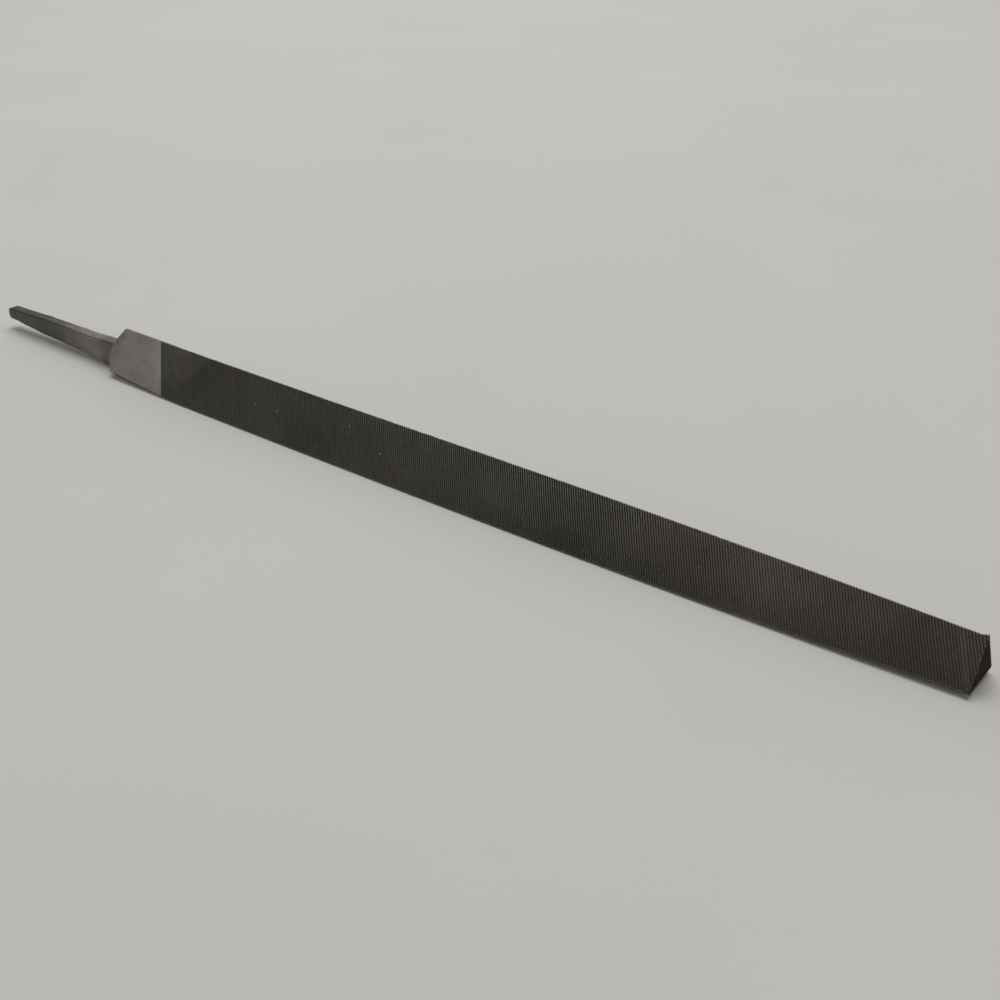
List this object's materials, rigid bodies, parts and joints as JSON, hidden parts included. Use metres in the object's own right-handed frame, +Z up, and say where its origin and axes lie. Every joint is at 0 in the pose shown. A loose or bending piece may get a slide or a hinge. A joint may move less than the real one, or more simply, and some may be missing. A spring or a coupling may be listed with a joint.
{
  "type": "three-square file",
  "caption": "Blunt three-cornered hand file with a bare tang, lying on one face, with slanting rows of teeth on all three faces.",
  "frame": {"origin": "under the middle of the file's whole length, on its middle line, in the plane of the tooth tips that it lies on", "axes": "+X along the file from the tang to the point, +Z up from the tooth tips that it lies on to the top edge, Y across"},
  "size_m": [0.3726, 0.0182, 0.0157],
  "materials": {
    "hard_steel": "dark satin, cut with teeth on the faces and bare at the heel and tang"
  },
  "bodies": {
    "root": {"three_square_file": "hard_steel"}
  },
  "joints": []
}
